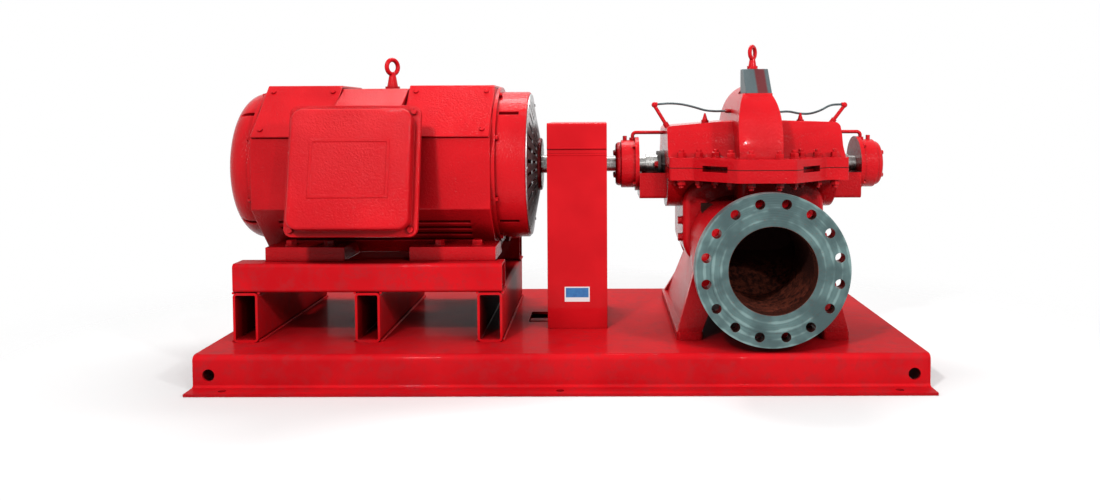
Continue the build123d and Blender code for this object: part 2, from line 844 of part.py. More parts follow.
def seal_tube(points):
    route = [(x, line_y, z) for x, z in points]
    path = FilletPolyline(*route, radius=tube_radii(route))
    start = Plane(origin=path @ 0, z_dir=path % 0)
    return sweep(start * Circle(tube_d / 2), path)


def seal_nipple(side, first, casing):
    foot_z = crown_left if side < 0 else crown_right
    foot = Vector(side * nipple_foot_x, line_y, foot_z - 8)
    top = Vector(side * nipple_top_x, line_y, first[1] - 4)
    pipe_axis = Plane(origin=foot, z_dir=top - foot)
    pipe = extrude(pipe_axis * Circle(nipple_d / 2), (top - foot).length)
    collar = extrude(pipe_axis * Circle(nipple_d / 2 + 3), 22)
    elbow = Pos(side * nipple_top_x, line_y, first[1] - 2) * Sphere(elbow_d / 2)
    arm = rod(min(side * nipple_top_x, first[0]), max(side * nipple_top_x, first[0]),
              elbow_d / 2 - 3, line_y, first[1])
    return pipe + collar + elbow + arm - casing


def tube_fitting(last, casing):
    side = 1 if last[0] > 0 else -1
    x_end = side * 40
    fitting = rod(min(last[0], x_end), max(last[0], x_end), 7, line_y, last[1])
    return fitting - casing


def casing_plug(x, casing):
    foot_z = crown_middle - 22
    plug = rod_z(foot_z, crown_middle + 1, plug_r, x, plug_y)
    plug += Pos(x, plug_y, crown_middle + 1 + plug_height / 2 - 2) * Cone(plug_r * 0.75, 2.5,
                                                                         plug_height - 4)
    return plug - casing


def both_ends(name, right_shape):
    save(name + "_right", at_pump(right_shape))
    save(name + "_left", at_pump(mirrored(right_shape)))


os.makedirs("parts", exist_ok=True)

save("base_deck", base_deck())
save("base_end_plates", base_end_plates())
save("base_cross_members", base_cross_members())
save("base_stiffener", base_stiffener())

stand_tubes = (("left", stand_x0 + tube_width / 2), ("middle", (stand_x0 + stand_x1) / 2),
               ("right", stand_x1 - tube_width / 2))
for place, tube_x in stand_tubes:
    save("stand_tube_" + place, stand_tube(tube_x))
save("stand_rail_front", stand_rail(-1))
save("stand_rail_rear", stand_rail(1))

save("motor_frame", motor_frame())
save("motor_foot_left", motor_foot(left_foot_x))
save("motor_foot_right", motor_foot(right_foot_x))
save("motor_end_shield_left", motor_shield_left())
save("motor_end_shield_right", motor_shield_right())
save("motor_bearing_cap", motor_bearing_cap())
save("motor_vent_grille", motor_grille())
save("motor_hood_left", motor_hood(left_hood_x))
save("motor_hood_right", motor_hood(right_hood_x))
save("terminal_box", terminal_box())
save("terminal_box_cover", terminal_box_cover())
frame_top = frame_z + apothem
motor_eye = lifting_eye(24.0, 7.5, 24.0, frame_top, frame_top + motor_eye_height)
save("motor_lifting_eye", Pos(motor_eye_x, 0, 0) * motor_eye)

save("guard_body", guard_part(base_height, groove_z1))
save("guard_hood", guard_part(groove_z1, guard_top + 5))

save("motor_shaft", motor_shaft())
at_coupling = Pos(coupling_mid_x, 0, shaft_height)
save("coupling_hub_motor", at_coupling * mirrored(coupling_hub(motor_shaft_d)))
save("coupling_element", at_coupling * coupling_element())
save("coupling_hub_pump", at_coupling * coupling_hub(pump_shaft_d))

upper = pump_upper_casing()
save("pump_upper_casing", upper)
lower = pump_lower_casing()
save("pump_lower_casing", lower)
foot = pump_foot() - lower
foot = foot.solids().sort_by(SortBy.VOLUME)[-1]
save("pump_foot_left", foot)
save("pump_foot_right", mirror(foot, Plane(origin=(pump_x, 0, 0), z_dir=(1, 0, 0))))
save("suction_flange", suction_flange())
save("discharge_flange", discharge_flange())
save("bearing_housing_left", at_pump(mirrored(bearing_housing(14))))
save("bearing_housing_right", at_pump(bearing_housing(14)))
save("bearing_cap_left", at_pump(mirrored(bearing_cap(True))))
save("bearing_cap_right", at_pump(bearing_cap(False)))
both_ends("packing_gland", packing_gland())
save("bearing_tie_bars", at_pump(tie_bar() + mirrored(tie_bar())))
save("pump_shaft", pump_shaft())
save("vent_block", vent_block())
pump_eye = lifting_eye(19.5, 6.5, 17.0, block_z1, block_z1 + pump_eye_height)
save("pump_lifting_eye", at_pump(Pos(0, pump_eye_y, 0) * pump_eye))

casing_here = Pos(-pump_x, 0, -shaft_height) * upper
for place, side, route in (("left", -1, left_tube), ("right", 1, right_tube)):
    tube = seal_tube(route)
    save("seal_tube_" + place, at_pump(tube))
    fittings = seal_nipple(side, route[0], casing_here) + tube_fitting(route[-1], casing_here)
    fittings -= tube
    save("seal_fittings_" + place, at_pump(fittings))
plugs = casing_plug(plug_x[0], casing_here) + casing_plug(plug_x[1], casing_here)
save("casing_plugs", at_pump(plugs))
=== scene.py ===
import json
import math

import bmesh
import bpy
from mathutils import Matrix, Vector


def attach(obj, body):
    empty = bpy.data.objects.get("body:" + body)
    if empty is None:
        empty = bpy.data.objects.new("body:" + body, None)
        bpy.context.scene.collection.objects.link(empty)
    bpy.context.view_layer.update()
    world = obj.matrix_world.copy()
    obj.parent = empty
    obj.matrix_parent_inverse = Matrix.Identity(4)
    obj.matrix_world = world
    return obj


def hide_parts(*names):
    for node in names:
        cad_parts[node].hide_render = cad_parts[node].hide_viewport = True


# The looks of an electric fire pump set: red enamel, machined iron flanges, bolts and welds. Metres.
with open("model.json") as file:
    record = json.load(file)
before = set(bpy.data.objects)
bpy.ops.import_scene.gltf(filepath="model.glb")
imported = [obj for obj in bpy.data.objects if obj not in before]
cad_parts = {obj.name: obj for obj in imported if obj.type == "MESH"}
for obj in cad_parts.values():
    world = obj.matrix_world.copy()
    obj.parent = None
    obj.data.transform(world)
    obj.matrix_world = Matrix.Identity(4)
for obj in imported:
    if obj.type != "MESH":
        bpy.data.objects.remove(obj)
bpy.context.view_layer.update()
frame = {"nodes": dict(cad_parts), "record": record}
nodes = frame["nodes"]

STILL = "pump_set"
TURNING = "shaft_line"
BOTH_SIDES = (-1, 1)
MM = 0.001

# Camera, solved from the base, the stand and the suction flange
IMAGE_WIDTH = 1100.0
IMAGE_HEIGHT = 500.0
FOCAL_PIXELS = 859.2
AXIS_X_PIXEL = 595.4
AXIS_Y_PIXEL = 148.5
CAMERA_PLACE = (0.1162, -2.8904, 0.7890)
CAMERA_YAW = 0.0059
CAMERA_PITCH = -0.0415
CAMERA_ROLL = 0.0042
SENSOR = 36.0

# Lamps: name, place, target, width, height, watts
LAMPS = (("key", (-1.2, -3.2, 2.75), (0, 0, 0.5), 0.30, 0.24, 90),
         ("fill", (2.6, -3.0, 2.2), (0.3, 0, 0.5), 0.34, 0.28, 62),
         ("top", (0, 1.3, 3.1), (0, 0, 0.3), 2.2, 0.7, 76),
         ("small", (1.0, -3.0, 1.72), (0.4, 0, 0.6), 0.08, 0.08, 15))
SKY_LIGHT = 0.32

# Colours, linear
RED = (0.56, 0.006, 0.011, 1)
# Painted shade colour for corners and undersides.
RED_PAINTED_SHADE = (0.13, 0.001, 0.002, 1)
RED_LIGHT = (0.67, 0.009, 0.015, 1)
DUSTY_RED = (0.44, 0.022, 0.028, 1)
IRON = (0.105, 0.180, 0.178, 1)
IRON_PAINTED_SHEEN = (0.27, 0.40, 0.39, 1)
IRON_DARK = (0.050, 0.088, 0.090, 1)
BLOCK_GREY = (0.12, 0.145, 0.16, 1)
RUST = (0.15, 0.035, 0.020, 1)
RUST_DARK = (0.030, 0.009, 0.007, 1)
OVERSPRAY = (0.13, 0.012, 0.016, 1)
STEEL = (0.50, 0.50, 0.48, 1)
STEEL_DIM = (0.26, 0.26, 0.25, 1)
SHEET_BRIGHT = (0.62, 0.63, 0.63, 1)
SHEET_DIM = (0.30, 0.31, 0.31, 1)
TUBE_GREY = (0.085, 0.105, 0.11, 1)
DARK_METAL = (0.085, 0.075, 0.072, 1)
BLACK = (0.012, 0.012, 0.013, 1)
RUBBER_GREY = (0.03, 0.03, 0.031, 1)
LABEL_BLUE = (0.02, 0.13, 0.36, 1)
LABEL_BLUE_FADED = (0.03, 0.18, 0.44, 1)
LABEL_WHITE = (0.72, 0.75, 0.76, 1)
FLOOR_WHITE = (0.93, 0.93, 0.93, 1)
FLOOR_SHADE = (0.36, 0.36, 0.36, 1)
WHITE = (1, 1, 1, 1)

# Shaft, motor and stand, millimetres
SHAFT_Z = 617.4
FRAME_Z = 605.0
STAND_TOP = 338.0
DECK_TOP = 100.0
MOTOR_FOOT = 43.0
FOOT_BOLT_X = (-850.0, -730.0, -389.0, -269.0)
FOOT_BOLT_Y = 226.0
SHIELD_LEFT_X = -971.5
SHIELD_RIGHT_X = -210.5
SHIELD_BOLT_CIRCLE = 250.5
CAP_FACE_X = -92.5
CAP_BOLT_CIRCLE = 94.0
GRILLE_FACE_X = -113.5
GRILLE_SCREW_CIRCLE = 229.0
HOODS = ((-955.0, -716.0), (-498.0, -224.0))
HOOD_FACET = 275.0
HOOD_SCREW_INSET = 24.0
HOOD_SCREW_SLIDE = 84.0
COVER_MIDDLE = (-607.0, -384.0, SHAFT_Z + 5.0)
COVER_LEAN = 12.0
COVER_RISE = 8.0
COVER_SCREW = 174.0
TUBES_X = (-957.0, -588.0, -219.0)
TUBE_HALF = 38.5
WELD_HALF = 322.0
RAIL_INNER = 244.0
RAIL_FOOT = 249.0

# Guard and coupling, millimetres
GUARD_X = -54.5
GUARD_LENGTH = 191.0
GUARD_BEAD_Y = 164.0
GUARD_GROOVE = (655.5, 677.0)
COUPLING_X = 41.0
COUPLING_HALF = 33.3
COUPLING_BOLT_CIRCLE = 72.0

# Blank label, stripe on the vent block, rust in the bores with painted shade in their upper part, and
# fading floor, metres
LABEL_PLACE = (0.040, -0.1662, 0.210)
LABEL_SIZE = (0.080, 0.048)
LABEL_THICKNESS = 0.0003
LABEL_FIELD_X = (0.0030, 0.0045, 0.0755, 0.0770)
LABEL_FIELD_Z = (0.199, 0.2005, 0.2295, 0.2310)
STRIPE_X = (0.602, 0.611, 0.636, 0.645)
RUST_PAINTED_SHADE_Z = (0.26, 0.33)
FLOOR_FADE = (0.60, 1.75)

# Pump, millimetres
PUMP_X = 606.0
NOZZLE_Z = 337.0
SUCTION_FACE = -465.0
SUCTION_BORE = 127.0
SUCTION_END = -20.0
DISCHARGE_FACE = 430.0
DISCHARGE_BORE = 101.5
DISCHARGE_START = 200.0
EYE_DEPTH = (-190.0, -50.0)
EYE_WIDTH = (-170.0, 170.0)
EYE_HEIGHT = (300.0, 500.0)
SEAM_HALF_HEIGHT = 1.4
SEAM_HALF_LENGTH = 279.0
FLANGE_BACK = -420.0
FLANGE_RIM = 220.5
HOLE_DEPTH = (-461.5, -418.5)
HOLE_RING = (177.0, 209.5)
BLOCK_FOOT = 830.0
BLOCK_BACK = -100.0
UPPER_FLANGE = 32.0
LOWER_FLANGE = 38.0
PARTING_SPOTS = ((238, 224), (184, 224), (132, 226), (96, 292), (42, 340))
PARTING_END_X = 252.0
PARTING_END_Y = (-165.0, -120.0, 120.0, 165.0)
HOUSING_FLANGE_X = 375.0
HOUSING_BOLT_CIRCLE = 85.2
BEARING_FACE_X = 440.0
BEARING_BOLT_CIRCLE = 52.0
GLAND_X = 300.0
GLAND_STUD_Y = 51.0
PUMP_FOOT_X = 200.0
PUMP_FOOT_TOP = 125.0
PUMP_FOOT_Y = (-252.0, 10.0, 262.0)
PLUG_X = 226.0
PLUG_SPOTS = ((-112.0, 440.0), (-118.0, 386.0))


class Wire:
    """A socket of a finish. Arithmetic on wires adds Math nodes to that finish."""

    def __init__(self, finish, socket):
        self.finish = finish
        self.socket = socket

    def __add__(self, other):
        return self.finish.math("ADD", self, other)

    def __radd__(self, other):
        return self.finish.math("ADD", other, self)

    def __sub__(self, other):
        return self.finish.math("SUBTRACT", self, other)

    def __rsub__(self, other):
        return self.finish.math("SUBTRACT", other, self)

    def __mul__(self, other):
        return self.finish.math("MULTIPLY", self, other)

    def __rmul__(self, other):
        return self.finish.math("MULTIPLY", other, self)


class Finish:
    """The shader of a material or of the sky. node() adds any node and gives a wire of its output."""

    def __init__(self, holder):
        self.holder = holder
        holder.use_nodes = True
        self.tree = holder.node_tree
        self.tree.nodes.clear()

    def node(self, kind, settings=None, inputs=None, out=0):
        made = self.tree.nodes.new(kind)
        for key, value in (settings or {}).items():
            setattr(made, key, value)
        for key, value in (inputs or {}).items():
            socket = made.inputs[key]
            if isinstance(value, Wire):
                self.tree.links.new(value.socket, socket)
            else:
                socket.default_value = value
        return Wire(self, made.outputs[out])

    def math(self, operation, *values):
        return self.node("ShaderNodeMath", {"operation": operation}, dict(enumerate(values)))

    def place(self):
        return self.node("ShaderNodeTexCoord", out="Object")

    def axes(self, vector):
        split = self.node("ShaderNodeSeparateXYZ", inputs={0: vector})
        return tuple(Wire(self, output) for output in split.socket.node.outputs)

    def noise(self, vector, scale, detail=2.0, rough=0.5):
        inputs = {"Vector": vector, "Scale": scale, "Detail": detail, "Roughness": rough}
        return self.node("ShaderNodeTexNoise", {"noise_dimensions": "3D"}, inputs)

    def ease(self, value, low, high):
        inputs = {"Value": value, "From Min": low, "From Max": high}
        return self.node("ShaderNodeMapRange", {"interpolation_type": "SMOOTHSTEP"}, inputs)

    def blend(self, share, first, second):
        inputs = {0: share, 6: first, 7: second}
        return self.node("ShaderNodeMix", {"data_type": "RGBA"}, inputs, out=2)

    def over(self, value, size):
        return self.math("GREATER_THAN", value, size * MM)

    def below(self, value, size):
        return self.math("LESS_THAN", value, size * MM)

    def between(self, value, low, high):
        return self.over(value, low) * self.below(value, high)

    def band(self, value, start, full, fading, stop):
        """1 from full to fading, easing off to 0 at start and at stop."""
        return self.ease(value, start, full) * (1.0 - self.ease(value, fading, stop))

    def either(self, first, *others):
        for other in others:
            first = self.math("MAXIMUM", first, other)
        return first

    def from_nozzle(self, x, z):
        """Distance from the axis of the pump's two pipe openings."""
        off_x = x - PUMP_X * MM
        off_z = z - NOZZLE_Z * MM
        return self.math("SQRT", off_x * off_x + off_z * off_z)

    def bump(self, height, distance, under=None):
        inputs = {"Height": height, "Distance": distance}
        if under is not None:
            inputs["Normal"] = under
        return self.node("ShaderNodeBump", inputs=inputs)

    def occlusion_for_shade(self, distance):
        inputs = {"Distance": distance}
        return self.node("ShaderNodeAmbientOcclusion", {"samples": 6}, inputs, out="AO")

    def background(self):
        """1 to the eye, in a gloss or through glass, and 0 as a source of light."""
        rays = ("Is Camera Ray", "Is Glossy Ray", "Is Transmission Ray")
        return self.either(*(self.node("ShaderNodeLightPath", out=ray) for ray in rays))

    def end(self, shader, kind="ShaderNodeOutputMaterial"):
        output = self.tree.nodes.new(kind)
        self.tree.links.new(shader.socket, output.inputs["Surface"])

    def done(self, **inputs):
        named = {key.replace("_", " "): value for key, value in inputs.items()}
        self.end(self.node("ShaderNodeBsdfPrincipled", inputs=named))
        return self.holder


def new_finish(name):
    return Finish(bpy.data.materials.new(name))


def red_coat(paint, at, painted_shade_end, dust=0.0):
    """Cloudy red, dusty in patches, with painted shade in corners, hollows and undersides, and the
    clouds that vary its gloss.
    """
    cloud = paint.noise(at, 4.0, 3.0)
    colour = paint.blend(paint.ease(cloud, 0.35, 0.65), RED, RED_LIGHT)
    if dust > 0:
        patch = paint.noise(at, 26.0, 6.0, 0.75)
        colour = paint.blend(paint.ease(patch, 0.46, 0.64) * dust, colour, DUSTY_RED)
    # Painted shade: the deep red is blended in where ambient occlusion within 0.30 m is low, in
    # corners, under the stand and on undersides.
    clear_of_painted_shade = paint.ease(paint.occlusion_for_shade(0.30), 0.20, painted_shade_end)
    return paint.blend(clear_of_painted_shade, RED_PAINTED_SHADE, colour), cloud


def orange_peel(paint, at, grain_scale, grain_height):
    """The grain of the casting or plate under a finely rippled coat."""
    grain = paint.noise(at, grain_scale, 3.0, 0.6)
    peel = paint.noise(at, 380.0, 1.0)
    return paint.bump(peel, 0.00010, paint.bump(grain, grain_height))


def enamel(name, grain_scale, grain_height, shine, gloss, coat, painted_shade_end, dust=0.0):
    """Gloss red enamel over plate or rough castings."""
    paint = new_finish(name)
    at = paint.place()
    colour, cloud = red_coat(paint, at, painted_shade_end, dust)
    relief = orange_peel(paint, at, grain_scale, grain_height)
    return paint.done(Base_Color=colour, Roughness=shine + 0.12 * cloud, Coat_Weight=coat,
                      Coat_Roughness=0.05, Specular_IOR_Level=gloss, Normal=relief)


def pump_enamel(name):
    """The castings' enamel, with bare rusty iron inside the two pipe openings, given painted shade in
    its upper part.
    """
    paint = new_finish(name)
    at = paint.place()
    x, y, z = paint.axes(at)
    radius = paint.from_nozzle(x, z)
    off_x = x - PUMP_X * MM
    suction = paint.below(radius, SUCTION_BORE + 1.5) * paint.below(y, SUCTION_END)
    discharge = paint.below(radius, DISCHARGE_BORE + 1.5) * paint.over(y, DISCHARGE_START)
    eye = paint.between(y, *EYE_DEPTH) * paint.between(off_x, *EYE_WIDTH)
    eye = eye * paint.between(z, *EYE_HEIGHT)
    inside = paint.either(suction, eye, discharge)
    # The red carries painted shade where ambient occlusion is low.
    red, cloud = red_coat(paint, at, 0.80)
    scale = paint.noise(at, 60.0, 5.0, 0.7)
    rust = paint.blend(paint.ease(scale, 0.40, 0.62), RUST_DARK, RUST)
    # Painted shade: the rust turns darker from 0.26 m up to 0.33 m, in the upper part of the openings.
    rust = paint.blend(paint.ease(z, *RUST_PAINTED_SHADE_Z), rust, RUST_DARK)
    seam = paint.between(z, SHAFT_Z - SEAM_HALF_HEIGHT, SHAFT_Z + SEAM_HALF_HEIGHT)
    seam = seam * paint.between(off_x, -SEAM_HALF_LENGTH, SEAM_HALF_LENGTH)
    colour = paint.blend(inside, paint.blend(seam * 0.9, red, RUST_DARK), rust)
    relief = orange_peel(paint, at, 150.0, 0.0021)
    shine = 0.07 + 0.12 * cloud + 0.5 * inside
    return paint.done(Base_Color=colour, Roughness=shine, Coat_Weight=0.08 - 0.08 * inside,
                      Coat_Roughness=0.05, Specular_IOR_Level=0.06, Normal=relief)


def machined(name):
    """Bare machined iron faces with rings left by the lathe and pale arcs painted as their sheen, dark
    rust with painted shade in the bolt holes, red enamel behind the flanges.
    """
    iron = new_finish(name)
    at = iron.place()
    x, y, z = iron.axes(at)
    radius = iron.from_nozzle(x, z)
    fine = iron.noise(at, 190.0, 4.0, 0.65)
    broad = iron.noise(at, 9.0, 3.0, 0.6)
    wander = radius + 0.006 * broad
    rings = iron.math("SINE", wander * 900.0)
    sheen_sweep = iron.math("SINE", wander * 260.0)
    block = iron.over(z, BLOCK_FOOT)
    bore = iron.below(radius, SUCTION_BORE + 1.0)
    rim = iron.below(y, FLANGE_BACK) * iron.over(radius, FLANGE_RIM)
    faces = iron.either(iron.below(y, SUCTION_FACE + 3.0), iron.over(y, DISCHARGE_FACE - 3.0))
    bare = iron.either(faces, block, rim, bore)
    colour = iron.blend(iron.ease(broad, 0.36, 0.66), IRON_DARK, IRON)
    # Painted sheen: pale arcs across the turned faces where they would catch the light.
    painted_sheen_arcs = iron.ease(sheen_sweep + 5.0 * broad, 3.0, 4.1)
    colour = iron.blend(painted_sheen_arcs * 0.55, colour, IRON_PAINTED_SHEEN)
    colour = iron.blend(iron.ease(fine, 0.60, 0.72) * 0.5, colour, RUST)
    bore_rust = iron.blend(iron.ease(fine, 0.4, 0.62), RUST_DARK, RUST)
    colour = iron.blend(bore, colour, bore_rust)
    stripe = iron.band(x, *STRIPE_X) * block * iron.below(y, BLOCK_BACK)
    colour = iron.blend(stripe * iron.ease(fine, 0.15, 0.4), colour, OVERSPRAY)
    colour = iron.blend(block * (1.0 - stripe), colour, iron.blend(fine, IRON_DARK, BLOCK_GREY))
    colour = iron.blend(bare, RED, colour)
    # Painted shade with dark rust on the walls of the bolt holes.
    bolt_hole_rust_and_shade = iron.between(y, *HOLE_DEPTH) * iron.between(radius, *HOLE_RING)
    colour = iron.blend(bolt_hole_rust_and_shade, colour, RUST_DARK)
    relief = iron.bump(rings * (1.0 - block) + 2.0 * fine, 0.00007)
    return iron.done(Base_Color=colour, Roughness=0.30 + 0.28 * fine, Metallic=0.45 * bare,
                     Coat_Weight=0.3 - 0.3 * bare, Coat_Roughness=0.05, Normal=relief)


def bare_steel(name, colour, rough):
    steel = new_finish(name)
    at = steel.place()
    fine = steel.noise(at, 260.0, 3.0)
    broad = steel.noise(at, 20.0, 3.0)
    dim = tuple(level * 0.55 for level in colour[:3]) + (1,)
    tone = steel.blend(steel.ease(fine + broad, 0.75, 1.25), dim, colour)
    relief = steel.bump(fine, 0.00008)
    return steel.done(Base_Color=tone, Roughness=rough + 0.2 * fine, Metallic=1.0, Normal=relief)


def turned_steel(name):
    """Shaft steel with fine rings from turning along X."""
    steel = new_finish(name)
    at = steel.place()
    fine = steel.noise(at, 220.0, 3.0)
    rings = steel.math("SINE", steel.axes(at)[0] * 2600.0)
    tone = steel.blend(steel.ease(fine, 0.4, 0.62), STEEL_DIM, STEEL)
    relief = steel.bump(rings + fine, 0.000012)
    return steel.done(Base_Color=tone, Roughness=0.3 + 0.18 * fine, Metallic=1.0, Normal=relief)


def grille_sheet(name):
    """Bright perforated sheet, its holes darkened with painted shade."""
    sheet = new_finish(name)
    at = sheet.place()
    fine = sheet.noise(at, 200.0, 3.0)
    tone = sheet.blend(sheet.ease(fine, 0.35, 0.65), SHEET_DIM, SHEET_BRIGHT)
    # Painted shade: black blended in where ambient occlusion within 2 cm is low, in and around the
    # holes.
    tone = sheet.blend(sheet.ease(sheet.occlusion_for_shade(0.02), 0.25, 0.9), BLACK, tone)
    return sheet.done(Base_Color=tone, Roughness=0.28 + 0.2 * fine, Metallic=1.0)


def rubber(name):
    soft = new_finish(name)
    fine = soft.noise(soft.place(), 200.0, 3.0)
    tone = soft.blend(fine, BLACK, RUBBER_GREY)
    return soft.done(Base_Color=tone, Roughness=0.5 + 0.25 * fine)


def plain_label(name):
    """A blank printed label: pale border and foot, blue field."""
    paper = new_finish(name)
    at = paper.place()
    x, _, z = paper.axes(at)
    field = paper.band(x, *LABEL_FIELD_X) * paper.band(z, *LABEL_FIELD_Z)
    fade = paper.noise(at, 90.0, 3.0)
    blue = paper.blend(paper.ease(fade, 0.3, 0.7), LABEL_BLUE, LABEL_BLUE_FADED)
    tone = paper.blend(field, LABEL_WHITE, blue)
    return paper.done(Base_Color=tone, Roughness=0.35 + 0.15 * fade)


# The occlusion limit given to each enamel sets how far its painted shade in corners and undersides
# reaches.
PLATE_RED = enamel("plate_red", grain_scale=55.0, grain_height=0.0003, shine=0.30, gloss=0.005,
                   coat=0.05, painted_shade_end=0.60, dust=0.55)
MOTOR_RED = enamel("motor_castings", grain_scale=165.0, grain_height=0.0019, shine=0.07,
                   gloss=0.06, coat=0.08, painted_shade_end=0.82)
SHEET_RED = enamel("sheet_red", grain_scale=30.0, grain_height=0.0003, shine=0.20, gloss=0.02,
                   coat=0.12, painted_shade_end=0.70)
PUMP_RED = pump_enamel("pump_castings")
MACHINED = machined("machined_iron")
TURNED = turned_steel("turned_steel")
GRILLE = grille_sheet("grille_sheet")
TUBING = bare_steel("seal_tubing", TUBE_GREY, 0.35)
DARK_IRON = bare_steel("dark_iron", DARK_METAL, 0.45)
RUBBER = rubber("coupling_rubber")
LABEL = plain_label("blank_label")

BY_SLOT = {"painted_base": PLATE_RED, "painted_motor": MOTOR_RED, "painted_guard": SHEET_RED,
           "painted_pump": PUMP_RED, "machined_iron": MACHINED, "grille_metal": GRILLE,
           "shaft_steel": TURNED, "coupling_iron": DARK_IRON, "coupling_rubber": RUBBER,
           "gland_iron": DARK_IRON, "tube_metal": TUBING}
SLOT_OF = {part["node"]: part["material_slot"] for part in frame["record"]["subparts"]}

for node, slot in SLOT_OF.items():
    mesh = nodes[node].data
    mesh.materials.clear()
    mesh.materials.append(BY_SLOT[slot])


# Pieces
def mesh_of(name, shape):
    mesh = bpy.data.meshes.new(name)
    shape.to_mesh(mesh)
    shape.free()
    return mesh


def finish_piece(name, shape, slot, body, material=None):
    bmesh.ops.recalc_face_normals(shape, faces=shape.faces)
    mesh = mesh_of(name, shape)
    mesh.materials.append(material or BY_SLOT[slot])
    piece = bpy.data.objects.new(name, mesh)
    bpy.context.scene.collection.objects.link(piece)
    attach(piece, body)
    return piece


def dressed(node, width):
    """A copy of a node with its edges rounded, shown in place of that node."""
    shape = bmesh.new()
    shape.from_mesh(nodes[node].data)
    bmesh.ops.remove_doubles(shape, verts=shape.verts, dist=0.00002)
    bmesh.ops.dissolve_limit(shape, angle_limit=math.radians(0.4), verts=shape.verts,
                             edges=shape.edges)
    piece = finish_piece(node + "_dressed", shape, SLOT_OF[node], STILL)
    sharp = math.radians(30.0)
    piece.data.shade_smooth()
    piece.data.set_sharp_from_angle(angle=sharp)
    bevel = piece.modifiers.new("rounded_edges", "BEVEL")
    bevel.width = width * MM
    bevel.segments = 2
    bevel.limit_method = "ANGLE"
    bevel.angle_limit = sharp
    bevel.use_clamp_overlap = True
    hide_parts(node)


def aimed(axis):
    """A turn that takes +Z to the given direction."""
    return Vector(axis).to_track_quat("Z", "Y").to_matrix().to_4x4()


def stamp(shape, model, place, axis=(0, 0, 1), turn=0.0):
    """Adds a copy of a small model at a place in millimetres, its own Z along an axis."""
    spot = Matrix.Translation(Vector(place) * MM) @ aimed(axis) @ Matrix.Rotation(turn, 4, "Z")
    start = len(shape.verts)
    shape.from_mesh(model)
    shape.verts.ensure_lookup_table()
    bmesh.ops.transform(shape, matrix=spot, verts=shape.verts[start:])


def around(count, first_turn):
    """Turn, sine and cosine of evenly spread places on a circle, the first at a turn in degrees."""
    for index in range(count):
        turn = math.radians(first_turn + 360.0 / count * index)
        yield turn, math.sin(turn), math.cos(turn)


def rim_order(edge):
    first, second = edge.verts
    return tuple(round(number, 6) for number in (first.co.x, first.co.y, second.co.x, second.co.y))


def disc(shape, radius, low, high, sides=20, chamfer=0.0):
    """A round or many-sided block along Z with a chamfered upper edge, millimetres."""
    made = bmesh.ops.create_cone(shape, cap_ends=True, segments=sides, radius1=radius * MM,
                                 radius2=radius * MM, depth=(high - low) * MM,
                                 matrix=Matrix.Translation((0, 0, (low + high) / 2 * MM)))
    if chamfer > 0:
        top = high * MM - 0.00001
        edges = {edge for vert in made["verts"] for edge in vert.link_edges}
        rim = [edge for edge in edges if all(vert.co.z > top for vert in edge.verts)]
        bmesh.ops.bevel(shape, geom=sorted(rim, key=rim_order), offset=chamfer * MM, segments=1,
                        profile=0.5, affect="EDGES", material=-1)


def stack(name, *discs):
    """Discs on one axis, each given by radius, low, high, sides and chamfer."""
    shape = bmesh.new()
    for radius, low, high, sides, chamfer in discs:
        disc(shape, radius, low, high, sides, chamfer)
    return mesh_of(name, shape)


def washer_and_head(across, height):
    point = across / math.sqrt(3)
    return (point * 1.15, 0, 2.5, 16, 0.6), (point, 2.5, 2.5 + height, 6, across * 0.06)


def hex_bolt(across, height):
    return stack("hex_bolt", *washer_and_head(across, height))


def stud_nut(across, height, stud, rise):
    end = (stud / 2, 2.5 + height, 2.5 + height + rise, 10, stud * 0.12)
    return stack("stud_nut", *washer_and_head(across, height), end)


def socket_screw(radius, height):
    """A round head with a recess."""
    shape = bmesh.new()
    disc(shape, radius, 0, height, 18, radius * 0.12)
    shape.faces.ensure_lookup_table()
    top = max(shape.faces, key=lambda face: face.calc_center_median().z)
    bmesh.ops.inset_individual(shape, faces=[top], thickness=radius * 0.42 * MM)
    inner = max(shape.faces, key=lambda face: face.calc_center_median().z - face.calc_area())
    grown = bmesh.ops.extrude_discrete_faces(shape, faces=[inner])
    down = [vert for face in grown["faces"] for vert in face.verts]
    bmesh.ops.translate(shape, verts=down, vec=(0, 0, -height * 0.55 * MM))
    return mesh_of("socket_screw", shape)


def weld_bead(length, radius):
    """A rippled bead along Z, drawn out ring by ring."""
    shape = bmesh.new()
    bmesh.ops.create_circle(shape, cap_ends=True, segments=10, radius=radius * MM)
    end = shape.faces[:]
    steps = max(2, int(length / 7.0))
    size = 1.0
    for step in range(1, steps + 1):
        swell = 1.0 + 0.09 * math.cos(step * 2.4) + 0.05 * math.sin(step * 1.3)
        grown = bmesh.ops.extrude_face_region(shape, geom=end)["geom"]
        ring = [item for item in grown if isinstance(item, bmesh.types.BMVert)]
        end = [item for item in grown if isinstance(item, bmesh.types.BMFace)]
        bmesh.ops.translate(shape, verts=ring, vec=(0, 0, length / steps * MM))
        bmesh.ops.scale(shape, verts=ring, vec=(swell / size, swell / size, 1))
        size = swell
    return mesh_of("weld_bead", shape)


